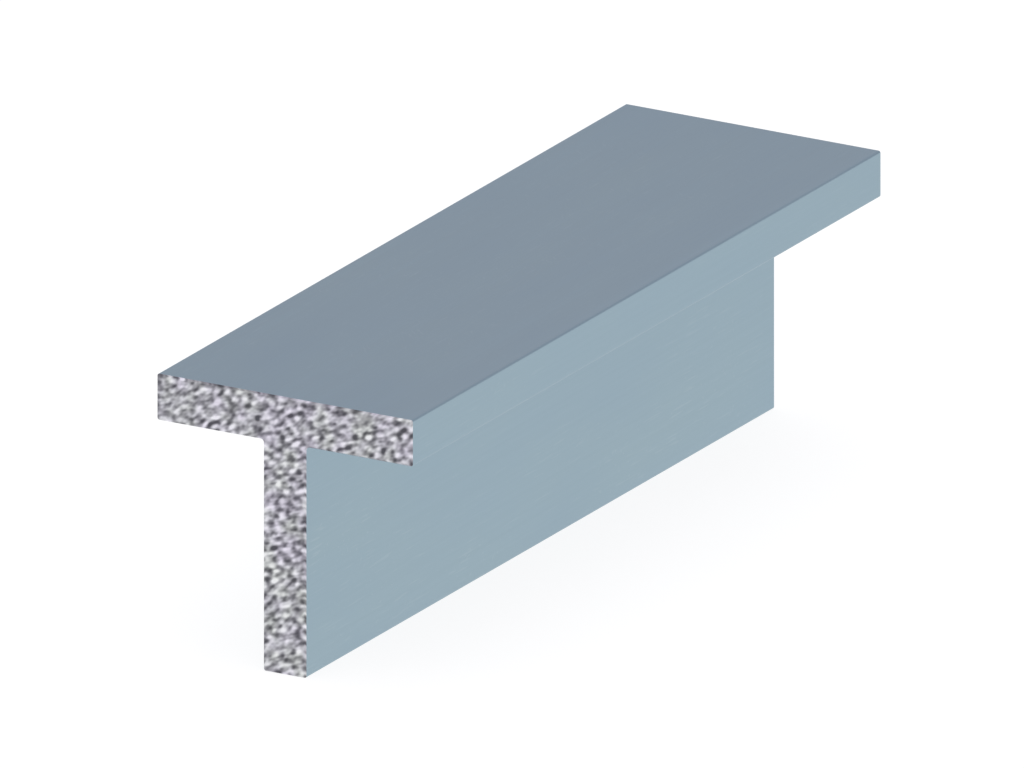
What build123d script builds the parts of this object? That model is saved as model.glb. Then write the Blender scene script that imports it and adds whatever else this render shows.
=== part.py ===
"""Short cut of an extruded aluminium tee bar, 1 1/2 x 1 1/2 x 1/4 in.

The flange lies level on top and the web stands under its middle, on its own foot.
The origin is the middle of the web's foot. +X runs across the flange, +Y along the
bar and +Z up. All sizes are in millimetres.
"""

from build123d import *
from math import isclose
import os

# Section, as the die forms it
flange_width = 38.1
section_height = 38.1
flange_thickness = 6.35
web_thickness = 6.35

# The die leaves the outer corners barely rounded and a small fillet in each root
corner_radius = 0.3
root_radius = 0.5

# Length of this cut, and the bevel that the deburring tool leaves round each sawn end
cut_length = 123.5
end_chamfer = 0.15

underside_height = section_height - flange_thickness

with BuildPart() as tee_section:
    # The section stands half-way along the bar, and the bar grows out of it both ways
    with BuildSketch(Plane.XZ) as section:
        with Locations((0, underside_height)):
            Rectangle(flange_width, flange_thickness, align=(Align.CENTER, Align.MIN))
        fillet(section.vertices(), corner_radius)

        # The web runs up into the flange, so that its upper end disappears there
        web_height = underside_height + flange_thickness / 2
        Rectangle(web_thickness, web_height, align=(Align.CENTER, Align.MIN))
        foot_corners = section.vertices().group_by(Axis.Y)[0]
        fillet(foot_corners, corner_radius)

        # The roots are the highest corners on the web's two sides
        web_side_corners = section.vertices().filter_by(
            lambda corner: isclose(abs(corner.X), web_thickness / 2)
        )
        roots = web_side_corners.group_by(Axis.Y)[-1]
        fillet(roots, root_radius)
    extrude(amount=cut_length / 2, both=True)

    # Both ends are sawn square to the bar
    sawn_ends = tee_section.faces().filter_by(Plane.XZ)
    chamfer(sawn_ends.edges(), end_chamfer)

tee_section.part.label = "tee_section"

os.makedirs("parts", exist_ok=True)
export_step(tee_section.part, "parts/tee_section.step")
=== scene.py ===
"""Looks of a short cut of extruded aluminium tee bar, standing on its web.

Lengths are in metres, +X runs across the flange, +Y along the bar and +Z up.
"""

import math

import bpy
import numpy as np
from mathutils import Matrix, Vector


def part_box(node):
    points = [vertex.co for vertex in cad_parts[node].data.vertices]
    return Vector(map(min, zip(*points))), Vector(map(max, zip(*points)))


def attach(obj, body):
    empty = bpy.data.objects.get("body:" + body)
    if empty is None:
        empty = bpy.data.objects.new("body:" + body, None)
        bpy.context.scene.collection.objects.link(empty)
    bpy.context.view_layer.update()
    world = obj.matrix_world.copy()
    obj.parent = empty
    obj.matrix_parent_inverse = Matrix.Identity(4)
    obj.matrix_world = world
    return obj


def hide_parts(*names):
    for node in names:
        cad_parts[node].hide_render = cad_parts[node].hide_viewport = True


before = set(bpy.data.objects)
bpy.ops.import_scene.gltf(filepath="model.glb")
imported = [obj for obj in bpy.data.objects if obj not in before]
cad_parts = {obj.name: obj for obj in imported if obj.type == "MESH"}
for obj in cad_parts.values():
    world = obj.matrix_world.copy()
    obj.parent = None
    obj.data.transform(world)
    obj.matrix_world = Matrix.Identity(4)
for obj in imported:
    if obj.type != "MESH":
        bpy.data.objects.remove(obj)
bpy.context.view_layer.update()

# The view: an exactly parallel one, from above the near end's right-hand corner, so the
# camera is orthographic. The bar's middle stands a little right of and below the frame's.
PHOTO_WIDTH = 1024
PHOTO_HEIGHT = 768
VIEW_AZIMUTH = math.radians(29.51)
VIEW_ELEVATION = math.radians(19.04)
PIXELS_PER_METRE = 7705
MIDDLE_AT_PIXEL = (519.0, 400.8)
CAMERA_DISTANCE = 0.6

back = Vector((
    math.sin(VIEW_AZIMUTH) * math.cos(VIEW_ELEVATION),
    -math.cos(VIEW_AZIMUTH) * math.cos(VIEW_ELEVATION),
    math.sin(VIEW_ELEVATION),
))
image_right = Vector((math.cos(VIEW_AZIMUTH), math.sin(VIEW_AZIMUTH), 0))
image_up = back.cross(image_right)
bar_low, bar_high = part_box("tee_section")
bar_middle = (bar_low + bar_high) / 2
aim = (
    bar_middle
    - image_right * (MIDDLE_AT_PIXEL[0] - PHOTO_WIDTH / 2) / PIXELS_PER_METRE
    + image_up * (MIDDLE_AT_PIXEL[1] - PHOTO_HEIGHT / 2) / PIXELS_PER_METRE
)

camera = bpy.data.objects.new("camera", bpy.data.cameras.new("camera"))
camera.data.type = "ORTHO"
camera.data.ortho_scale = PHOTO_WIDTH / PIXELS_PER_METRE
camera.data.clip_end = 10
camera.location = aim + back * CAMERA_DISTANCE
camera.rotation_mode = "QUATERNION"
camera.rotation_quaternion = (-back).to_track_quat("-Z", "Y")
bpy.context.scene.collection.objects.link(camera)
bpy.context.scene.camera = camera


# The bar: one extrusion of aluminium, pressed through a die that leaves its skin with
# faint lines along the bar, then sawn to length, which tears the metal of both ends into
# coarse bright and dark grains, and deburred round each end's edge.
FLANGE_THICKNESS = 0.00635  # the section's sizes and the bevel are the solid's
WEB_THICKNESS = 0.00635
CORNER_RADIUS = 0.0003
ROOT_RADIUS = 0.0005
END_BEVEL = 0.00015
ROOT_BLEND = 0.0015  # how deep in the metal the grid still gives way to a root fillet
END_GRID = 0.00013  # fine enough for the grains of the sawn ends
RING_STEP = 0.006
CORNER_CELLS = 3
SHARP_EDGE = math.radians(38)  # a sharper turn between two faces than this shows as an edge
HAIR = 1e-6  # rounding error, as a share of a corner's radius

half_width = bar_high.x
half_length = bar_high.y
height = bar_high.z
underside = height - FLANGE_THICKNESS
half_web = WEB_THICKNESS / 2


def spaced(stops, step):
    """Places from the first stop to the last: each stretch between neighbouring stops is
    cut into equal parts of at most the step, and into CORNER_CELLS parts at least."""
    runs = [
        np.linspace(a, b, max(CORNER_CELLS, math.ceil((b - a) / step)), endpoint=False)
        for a, b in zip(stops, stops[1:])
    ]
    return np.append(np.concatenate(runs), stops[-1])


def round_corner(u, v):
    """Square to disc: u and v run from nought at a rounding's centre to one at its two
    sides. Returns how far each shrinks so that the square's outer sides bend onto the
    circle: u (1 - sqrt(1 - v v / 2)) and v (1 - sqrt(1 - u u / 2))."""
    u, v = np.clip(u, 0, 1), np.clip(v, 0, 1)
    return u * (1 - np.sqrt(1 - v * v / 2)), v * (1 - np.sqrt(1 - u * u / 2))


def drawn_in(x, z, inset):
    """The sharp-cornered section's points, moved so that its outline lies inset inside
    the bar's and has rounded corners and roots: each wall's points are stretched evenly
    between its drawn-in sides, and then shifted by the rounding of the nearest corner."""
    x_stops = (-half_width, -half_web, half_web, half_width)
    x_moved = (-half_width + inset, -half_web + inset, half_web - inset, half_width - inset)
    across = np.interp(x, x_stops, x_moved)
    up = np.interp(z, (0, underside, height), (inset, underside + inset, height - inset))
    side = np.sign(across)
    out = np.abs(across)

    # Six outer corners: the foot's two and the flange's four
    radius = CORNER_RADIUS - inset
    corners = (
        (half_web - inset, inset, -1),
        (half_width - inset, underside + inset, -1),
        (half_width - inset, height - inset, 1),
    )
    shift_out = np.zeros_like(out)
    shift_up = np.zeros_like(out)
    for corner_out, corner_up, way in corners:
        u = (out - corner_out) / radius + 1
        v = (up - corner_up) * way / radius + 1
        here = (u <= 1 + HAIR) & (v <= 1 + HAIR)
        du, dv = round_corner(np.where(here, u, 0), np.where(here, v, 0))
        shift_out -= du * radius
        shift_up -= dv * radius * way

    # Two roots: metal fills the corner up to a circle that stands outside it, and the
    # shift fades with the depth in the metal
    radius = ROOT_RADIUS + inset
    right = out - (half_web - inset)
    below = underside + inset - up
    depth = np.maximum(np.maximum(-right, -below), 0)
    fade = np.clip(1 - depth / ROOT_BLEND, 0, 1)
    du, dv = round_corner(1 - np.maximum(right, 0) / radius, 1 - np.maximum(below, 0) / radius)
    shift_out += du * radius * fade
    shift_up -= dv * radius * fade
    return side * (out + shift_out), up + shift_up


x_lines = spaced(
    (
        -half_width, -half_width + CORNER_RADIUS,
        -half_web - ROOT_RADIUS, -half_web, -half_web + CORNER_RADIUS,
        half_web - CORNER_RADIUS, half_web, half_web + ROOT_RADIUS,
        half_width - CORNER_RADIUS, half_width,
    ),
    END_GRID,
)
z_lines = spaced(
    (
        0, CORNER_RADIUS, underside - ROOT_RADIUS, underside,
        underside + CORNER_RADIUS, height - CORNER_RADIUS, height,
    ),
    END_GRID,
)
middle_x = (x_lines[1:] + x_lines[:-1]) / 2
middle_z = (z_lines[1:] + z_lines[:-1]) / 2
cells = (middle_z[None, :] > underside) | (np.abs(middle_x)[:, None] < half_web)

# A grid point is used if one of the four cells round it is metal
padded = np.pad(cells, 1)
used = padded[1:, 1:] | padded[:-1, 1:] | padded[1:, :-1] | padded[:-1, :-1]
point_number = np.cumsum(used.ravel()).reshape(used.shape) - 1
grid_x, grid_z = np.meshgrid(x_lines, z_lines, indexing="ij")
sharp_x, sharp_z = grid_x[used], grid_z[used]
points_on_end = len(sharp_x)

i, j = np.nonzero(cells)
corner_a, corner_b = point_number[i, j], point_number[i + 1, j]
corner_c, corner_d = point_number[i + 1, j + 1], point_number[i, j + 1]
near_end_faces = np.stack([corner_a, corner_b, corner_c, corner_d], axis=1)

# A cell's side is on the outline if the cell beyond it isn't metal. Each such edge keeps
# the metal on its left, seen from the near end.
outline_edges = np.concatenate([
    np.stack([start, end], axis=1)[~beyond]
    for start, end, beyond in (
        (corner_a, corner_b, padded[i + 1, j]),
        (corner_b, corner_c, padded[i + 2, j + 1]),
        (corner_c, corner_d, padded[i + 1, j + 2]),
        (corner_d, corner_a, padded[i, j + 1]),
    )
])
outline_points, outline_index = np.unique(outline_edges, return_inverse=True)
outline_index = outline_index.reshape(-1, 2)


def outline_normals(x, z):
    """Unit outward normals at the outline's points: the mean of the two edges' normals,
    each an edge turned a quarter to the right."""
    start, end = outline_edges.T
    edge_normals = np.stack([z[end] - z[start], x[start] - x[end]], axis=1)
    edge_normals /= np.linalg.norm(edge_normals, axis=1, keepdims=True)
    total = np.zeros((len(x), 2))
    np.add.at(total, start, edge_normals)
    np.add.at(total, end, edge_normals)
    total = total[outline_points]
    return total / np.linalg.norm(total, axis=1, keepdims=True)


# A blade's tears are a few tenths of a millimetre wide. These are drawn about three times
# as coarse, as the picture shows them.
GRAIN_COARSEST = 0.0042  # wavelengths across the grains
GRAIN_FINEST = 0.0008
GRAIN_STRETCH = 1.65  # how much longer a grain is than it is wide
GRAIN_TILT = math.radians(27)
GRAIN_WAVES = 240
GRAIN_DEPTH = 0.00004
RIM_COARSEST = 0.0009  # wavelengths across the crisp rims of torn metal round the grains
RIM_FINEST = 0.00038
RIM_SHARE = 0.35  # how strong the rims are beside the grains


def torn_waves(x, z, frequencies, rng):
    """A sum of plane waves of these frequencies, with random headings and phases, and
    stretched along the tilt. It has a mean of nought and a spread of one."""
    heading = rng.uniform(0, 2 * math.pi, GRAIN_WAVES)
    phase = rng.uniform(0, 2 * math.pi, GRAIN_WAVES)
    along = 2 * math.pi * np.cos(heading) * frequencies / GRAIN_STRETCH
    over = 2 * math.pi * np.sin(heading) * frequencies
    wave_x = along * math.cos(GRAIN_TILT) - over * math.sin(GRAIN_TILT)
    wave_z = along * math.sin(GRAIN_TILT) + over * math.cos(GRAIN_TILT)
    waves = np.cos(np.outer(x, wave_x) + np.outer(z, wave_z) + phase)
    return waves.sum(axis=1) * math.sqrt(2 / GRAIN_WAVES)


def torn_grain(x, z, seed):
    """Grain of a sawn end: waves for the grains, with their frequencies spread evenly over
    the ring between the coarsest and the finest, and a share of waves for the rims, with
    their wavelengths spread evenly."""
    rng = np.random.default_rng(seed)
    grains = np.sqrt(rng.uniform(GRAIN_COARSEST**-2, GRAIN_FINEST**-2, GRAIN_WAVES))
    rims = 1 / rng.uniform(RIM_FINEST, RIM_COARSEST, GRAIN_WAVES)
    return torn_waves(x, z, grains, rng) + RIM_SHARE * torn_waves(x, z, rims, rng)


DIE_LINE_DEPTH = 0.000004
DIE_LINE_SPACING = 0.0007
DIE_LINE_SPREAD = 0.6  # how much the spacings differ, as a natural logarithm
DIE_LINE_DRIFT = 8  # most that a wave's phase turns over a metre of bar
DIE_LINE_WAVES = 60


def die_lines(x, z, y, seed):
    """Depth of the die's lines, between nought and minus DIE_LINE_DEPTH: a sum of random
    waves over the section that hardly change along the bar, bent flat by tanh."""
    rng = np.random.default_rng(seed)
    phase = rng.uniform(0, 2 * math.pi, DIE_LINE_WAVES)
    length = DIE_LINE_SPACING * np.exp(rng.normal(0, DIE_LINE_SPREAD, DIE_LINE_WAVES))
    turn = rng.uniform(-DIE_LINE_DRIFT, DIE_LINE_DRIFT, DIE_LINE_WAVES)
    place = np.outer((x + z).ravel(), 2 * math.pi / length)
    drift = np.outer(y.ravel(), turn)
    waves = np.cos(place + drift + phase).sum(axis=1) * math.sqrt(2 / DIE_LINE_WAVES)
    return (DIE_LINE_DEPTH / 2 * (np.tanh(waves) - 1)).reshape(x.shape)


# The two ends, drawn in by the bevel and torn inwards. The far one is turned round, so
# that its grains lean the same way as the near one's when it is looked at.
end_x, end_z = drawn_in(sharp_x, sharp_z, END_BEVEL)
near_grain = torn_grain(end_x, end_z, seed=46)
far_grain = torn_grain(-end_x, end_z, seed=185)
near_y = -half_length + GRAIN_DEPTH / 2 * (1 - np.tanh(near_grain))
far_y = half_length - GRAIN_DEPTH / 2 * (1 - np.tanh(far_grain))

# The skin: rings of the full outline from one bevel to the other
skin_x, skin_z = drawn_in(sharp_x, sharp_z, 0)
normals = outline_normals(skin_x, skin_z)
skin_x, skin_z = skin_x[outline_points], skin_z[outline_points]
skin_end = half_length - END_BEVEL
ring_y = spaced((-skin_end, -skin_end + END_BEVEL, skin_end - END_BEVEL, skin_end), RING_STEP)
ring_shape = (len(ring_y), len(skin_x))
ring_x = np.broadcast_to(skin_x, ring_shape)
ring_z = np.broadcast_to(skin_z, ring_shape)
ring_along = np.broadcast_to(ring_y[:, None], ring_shape)
depth = die_lines(ring_x, ring_z, ring_along, seed=21)
skin_points = np.stack(
    [ring_x + depth * normals[:, 0], ring_along, ring_z + depth * normals[:, 1]], axis=-1
)

near_points = np.stack([end_x, near_y, end_z], axis=1)
far_points = np.stack([end_x, far_y, end_z], axis=1)
points = np.concatenate([near_points, far_points, skin_points.reshape(-1, 3)])

# Rings of point numbers from the near end's edge to the far end's
skin_numbers = 2 * points_on_end + np.arange(ring_shape[0] * ring_shape[1]).reshape(ring_shape)
rings = np.vstack([outline_points, skin_numbers, outline_points + points_on_end])
start, end = outline_index.T
skin_faces = np.stack(
    [rings[:-1, start], rings[1:, start], rings[1:, end], rings[:-1, end]], axis=-1
).reshape(-1, 4)
far_end_faces = near_end_faces[:, ::-1] + points_on_end
faces = np.concatenate([near_end_faces, far_end_faces, skin_faces])

tee_mesh = bpy.data.meshes.new("extruded_tee")
tee_mesh.from_pydata(points.tolist(), [], faces.tolist())
tee_mesh.polygons.foreach_set("use_smooth", np.ones(len(faces), dtype=bool))
tee_mesh.set_sharp_from_angle(angle=SHARP_EDGE)

# The cut's material covers both ends and the strip of bevel round each of them
skin_slot, cut_slot = 0, 1
near_bevel_end = 2 * len(near_end_faces) + len(start)
face_slots = np.full(len(faces), skin_slot, dtype=np.int32)
face_slots[:near_bevel_end] = cut_slot
face_slots[-len(start) :] = cut_slot
tee_mesh.polygons.foreach_set("material_index", face_slots)

# Each point keeps its grain, so that the material's colour follows the relief, with painted shade
# in the pits and painted glints on the ridges
ring_grain = np.zeros(ring_shape)
ring_grain[0] = near_grain[outline_points]
ring_grain[-1] = far_grain[outline_points]
grain = np.concatenate([near_grain, far_grain, ring_grain.ravel()])
grain_attribute = tee_mesh.attributes.new("torn_grain", "FLOAT", "POINT")
grain_attribute.data.foreach_set("value", grain.astype(np.float32))


def linear(hex_code):
    """The linear colour of an sRGB hex code: each channel over 12.92 where it is below
    0.04045, and otherwise ((channel + 0.055) / 1.055) to the power 2.4."""
    channel = np.array([int(hex_code[k : k + 2], 16) for k in (1, 3, 5)]) / 255
    bright = ((channel + 0.055) / 1.055) ** 2.4
    return (*np.where(channel < 0.04045, channel / 12.92, bright).tolist(), 1)


def add_node(tree, kind, settings, inputs, steps=()):
    """Adds a node of this kind. Settings are its own values, inputs give each socket a
    value, or the output that feeds it, and steps are a ramp's places and hex codes."""
    node = tree.nodes.new(kind)
    for name, value in settings.items():
        setattr(node, name, value)
    for name, value in inputs.items():
        if isinstance(value, bpy.types.NodeSocket):
            tree.links.new(value, node.inputs[name])
        else:
            node.inputs[name].default_value = value
    for place, hex_code in steps:
        node.color_ramp.elements.new(place).color = linear(hex_code)
    if steps:
        # A new ramp's own two ends, at nought and one, stand outside these steps
        node.color_ramp.elements.remove(node.color_ramp.elements[0])
        node.color_ramp.elements.remove(node.color_ramp.elements[-1])
    return node


def new_material(name):
    """A material whose tree has been cleared of all its nodes, and that tree."""
    material = bpy.data.materials.new(name)
    material.use_nodes = True
    material.node_tree.nodes.clear()
    return material, material.node_tree


# Mill finish: aluminium as it leaves the die. The eye sees a dull, even blue-grey skin
# and, close to, fine lines along the bar, short flecks where it stuck to the die, clouds
# of oxide, and light scratches. Real die lines are about 0.1 mm wide, and flecks and
# scratches finer still. All are drawn coarser, so that they show in the render.
DIE_STREAK = 0.0006  # width of a streak
STREAK_STRETCH = 0.012  # how much a streak's pattern is drawn out along the bar
OXIDE_CLOUD = 0.011
CLOUD_STRETCH = 0.35
FLECK_WIDTH = 0.0003
FLECK_STRETCH = 0.07
SCRATCH_WIDTH = 0.0004
SCRATCH_STRETCH = 0.02
SCRATCH_TURN = (math.radians(20), math.radians(-35), math.radians(38))
MARK_SHARE = 0.2  # how far a fleck or scratch goes towards its own colour

mill_finish, tree = new_material("mill_finish_aluminium")
place = add_node(tree, "ShaderNodeTexCoord", {}, {}).outputs["Object"]
drawn_out = add_node(
    tree, "ShaderNodeMapping", {}, {"Vector": place, "Scale": (1, STREAK_STRETCH, 1)}
).outputs["Vector"]
streaks = add_node(
    tree,
    "ShaderNodeTexNoise",
    {},
    {"Vector": drawn_out, "Scale": 1 / DIE_STREAK, "Detail": 4, "Roughness": 0.6},
).outputs["Fac"]
cloud_place = add_node(
    tree, "ShaderNodeMapping", {}, {"Vector": place, "Scale": (1, CLOUD_STRETCH, 1)}
).outputs["Vector"]
clouds = add_node(
    tree,
    "ShaderNodeTexNoise",
    {},
    {"Vector": cloud_place, "Scale": 1 / OXIDE_CLOUD, "Detail": 3, "Roughness": 0.5},
).outputs["Fac"]
fleck_place = add_node(
    tree, "ShaderNodeMapping", {}, {"Vector": place, "Scale": (1, FLECK_STRETCH, 1)}
).outputs["Vector"]
fleck_noise = add_node(
    tree,
    "ShaderNodeTexNoise",
    {},
    {"Vector": fleck_place, "Scale": 1 / FLECK_WIDTH, "Detail": 0},
).outputs["Fac"]
flecks = add_node(
    tree, "ShaderNodeMapRange", {}, {"Value": fleck_noise, "From Min": 0.7, "From Max": 0.8}
).outputs["Result"]
scratch_place = add_node(
    tree,
    "ShaderNodeMapping",
    {"vector_type": "TEXTURE"},
    {"Vector": place, "Rotation": SCRATCH_TURN, "Scale": (1, 1 / SCRATCH_STRETCH, 1)},
).outputs["Vector"]
scratch_noise = add_node(
    tree,
    "ShaderNodeTexNoise",
    {},
    {"Vector": scratch_place, "Scale": 1 / SCRATCH_WIDTH, "Detail": 0},
).outputs["Fac"]
scratches = add_node(
    tree, "ShaderNodeMapRange", {}, {"Value": scratch_noise, "From Min": 0.74, "From Max": 0.84}
).outputs["Result"]
worn = add_node(
    tree, "ShaderNodeMapRange", {}, {"Value": clouds, "From Min": 0.35, "From Max": 0.65}
).outputs["Result"]
all_marks = add_node(
    tree, "ShaderNodeMath", {"operation": "MAXIMUM"}, {0: flecks, 1: scratches}
).outputs["Value"]
marks = add_node(
    tree, "ShaderNodeMath", {"operation": "MULTIPLY"}, {0: all_marks, 1: worn}
).outputs["Value"]

streak_colour = add_node(
    tree,
    "ShaderNodeValToRGB",
    {},
    {"Fac": streaks},
    steps=((0.25, "#95ABB7"), (0.5, "#98AEBA"), (0.75, "#9BB1BD")),
).outputs["Color"]
cloud_colour = add_node(
    tree,
    "ShaderNodeValToRGB",
    {},
    {"Fac": clouds},
    steps=((0.3, "#FBFCFE"), (0.7, "#FFFFFE")),
).outputs["Color"]
clouded = add_node(
    tree,
    "ShaderNodeMix",
    {"data_type": "RGBA", "blend_type": "MULTIPLY"},
    {"Factor": 1, "A": streak_colour, "B": cloud_colour},
).outputs["Result"]
mark_share = add_node(
    tree, "ShaderNodeMath", {"operation": "MULTIPLY"}, {0: marks, 1: MARK_SHARE}
).outputs["Value"]
skin_colour = add_node(
    tree,
    "ShaderNodeMix",
    {"data_type": "RGBA"},
    {"Factor": mark_share, "A": clouded, "B": linear("#B4C4CC")},
).outputs["Result"]
skin_roughness = add_node(
    tree,
    "ShaderNodeMapRange",
    {},
    {"Value": streaks, "From Min": 0.25, "From Max": 0.75, "To Min": 0.32, "To Max": 0.4},
).outputs["Result"]
skin_height = add_node(
    tree, "ShaderNodeMath", {"operation": "SUBTRACT"}, {0: streaks, 1: marks}
).outputs["Value"]
skin_bump = add_node(
    tree,
    "ShaderNodeBump",
    {},
    {"Height": skin_height, "Strength": 0.3, "Distance": 0.00001},
).outputs["Normal"]
skin_surface = add_node(
    tree,
    "ShaderNodeBsdfPrincipled",
    {},
    {
        "Base Color": skin_colour,
        "Metallic": 1,
        "Roughness": skin_roughness,
        "Normal": skin_bump,
    },
).outputs["BSDF"]
add_node(tree, "ShaderNodeOutputMaterial", {}, {"Surface": skin_surface})
tee_mesh.materials.append(mill_finish)

# Sawn aluminium: the blade's teeth tear it. Its bright ridges beside dark pits are partly the
# torn metal's own speckle and partly painted: painted shade darkens the pits and painted glints
# lighten the ridges. There is a breath of violet and straw where the metal is smeared, and no
# clear reflection, because a fine burr breaks it up.
GRAIN_RANGE = 6.4  # the ramp below covers this much of the grain, from the pits' painted shade to the ridges' painted glints
TINT_PATCH = 0.003
BURR = 0.00018

sawn, tree = new_material("sawn_aluminium")
place = add_node(tree, "ShaderNodeTexCoord", {}, {}).outputs["Object"]
torn = add_node(tree, "ShaderNodeAttribute", {"attribute_name": "torn_grain"}, {}).outputs["Fac"]
grain_level = add_node(
    tree,
    "ShaderNodeMapRange",
    {},
    {"Value": torn, "From Min": -GRAIN_RANGE / 2, "From Max": GRAIN_RANGE / 2},
).outputs["Result"]
# Painted shade and glints: the ramp darkens the grain's deep points and lightens its high ones,
# over the torn metal's own speckle.
grain_pit_shade_ridge_glint_colour = add_node(
    tree,
    "ShaderNodeValToRGB",
    {},
    {"Fac": grain_level},
    steps=(
        (0.112, "#5D5D63"),
        (0.287, "#818187"),
        (0.388, "#9A9AA0"),
        (0.5, "#B2B2B8"),
        (0.612, "#C9CAD0"),
        (0.713, "#DBDBE1"),
        (0.888, "#F3F3F9"),
    ),
).outputs["Color"]
tint = add_node(
    tree, "ShaderNodeTexNoise", {}, {"Vector": place, "Scale": 1 / TINT_PATCH, "Detail": 1}
).outputs["Fac"]
tint_colour = add_node(
    tree,
    "ShaderNodeValToRGB",
    {},
    {"Fac": tint},
    steps=((0.32, "#FBF6FE"), (0.5, "#FFFEFF"), (0.68, "#FDFFF8")),
).outputs["Color"]
cut_colour = add_node(
    tree,
    "ShaderNodeMix",
    {"data_type": "RGBA", "blend_type": "MULTIPLY"},
    {"Factor": 1, "A": grain_pit_shade_ridge_glint_colour, "B": tint_colour},
).outputs["Result"]
cut_roughness = add_node(
    tree, "ShaderNodeMapRange", {}, {"Value": grain_level, "To Min": 0.55, "To Max": 0.4}
).outputs["Result"]
burr = add_node(
    tree, "ShaderNodeTexNoise", {}, {"Vector": place, "Scale": 1 / BURR, "Detail": 2}
).outputs["Fac"]
cut_bump = add_node(
    tree, "ShaderNodeBump", {}, {"Height": burr, "Strength": 0.3, "Distance": 0.00002}
).outputs["Normal"]
cut_surface = add_node(
    tree,
    "ShaderNodeBsdfPrincipled",
    {},
    {
        "Base Color": cut_colour,
        "Metallic": 1,
        "Roughness": cut_roughness,
        "Normal": cut_bump,
    },
).outputs["BSDF"]
add_node(tree, "ShaderNodeOutputMaterial", {}, {"Surface": cut_surface})
tee_mesh.materials.append(sawn)

tee = bpy.data.objects.new("extruded_tee", tee_mesh)
bpy.context.scene.collection.objects.link(tee)
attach(tee, "root")
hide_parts("tee_section")


# The floor: a wide white slab that the bar stands on. The light falls on it, so it keeps
# the bar's shadow, and where the camera sees it, it is lifted to white. The metal mirrors
# it as plain white, and low views, which start inside it, see plain white too.
FLOOR_HALF = 4
FLOOR_DEPTH = 0.5
FLOOR_COLOUR = "#8A8A8A"
FLOOR_LIFT = 0.85  # with the light that falls on the board, this comes to white

floor_corners = [
    (x, y, z)
    for z in (-FLOOR_DEPTH, 0)
    for y in (-FLOOR_HALF, FLOOR_HALF)
    for x in (-FLOOR_HALF, FLOOR_HALF)
]
floor_sides = [(0, 2, 3, 1), (4, 5, 7, 6), (0, 1, 5, 4), (1, 3, 7, 5), (3, 2, 6, 7), (2, 0, 4, 6)]
floor_mesh = bpy.data.meshes.new("floor")
floor_mesh.from_pydata(floor_corners, [], floor_sides)

white_board, tree = new_material("white_board")
ray = add_node(tree, "ShaderNodeLightPath", {}, {}).outputs
matt = add_node(
    tree, "ShaderNodeBsdfDiffuse", {}, {"Color": linear(FLOOR_COLOUR)}
).outputs["BSDF"]
lift = add_node(
    tree, "ShaderNodeMath", {"operation": "MULTIPLY"}, {0: ray["Is Camera Ray"], 1: FLOOR_LIFT}
).outputs["Value"]
glow = add_node(tree, "ShaderNodeEmission", {}, {"Strength": lift}).outputs["Emission"]
lit_board = add_node(tree, "ShaderNodeAddShader", {}, {0: matt, 1: glow}).outputs["Shader"]
in_metal = add_node(
    tree,
    "ShaderNodeMath",
    {"operation": "MAXIMUM"},
    {0: ray["Is Glossy Ray"], 1: ray["Is Transmission Ray"]},
).outputs["Value"]
inside = add_node(tree, "ShaderNodeNewGeometry", {}, {}).outputs["Backfacing"]
plain = add_node(
    tree, "ShaderNodeMath", {"operation": "MAXIMUM"}, {0: in_metal, 1: inside}
).outputs["Value"]
white = add_node(tree, "ShaderNodeEmission", {}, {"Strength": 1}).outputs["Emission"]
board = add_node(
    tree, "ShaderNodeMixShader", {}, {"Fac": plain, 1: lit_board, 2: white}
).outputs["Shader"]
add_node(tree, "ShaderNodeOutputMaterial", {}, {"Surface": board})
floor_mesh.materials.append(white_board)

floor = bpy.data.objects.new("floor", floor_mesh)
bpy.context.scene.collection.objects.link(floor)


# The light: a plain grey room, which the flange's top mirrors a shade darker than the
# white floor that the sides mirror, and one wide soft lamp above.
ROOM_COLOUR = "#CFCDD3"
LAMP_SIZE = 5
LAMP_HEIGHT = 4
LAMP_WATTS = 42

room = bpy.data.worlds.new("room")
room.use_nodes = True
room.node_tree.nodes["Background"].inputs["Color"].default_value = linear(ROOM_COLOUR)
bpy.context.scene.world = room

lamp = bpy.data.objects.new("softbox", bpy.data.lights.new("softbox", "AREA"))
lamp.data.size = LAMP_SIZE
lamp.data.energy = LAMP_WATTS
lamp.location = (0, 0, LAMP_HEIGHT)
bpy.context.scene.collection.objects.link(lamp)

bpy.context.scene.view_settings.view_transform = "Standard"
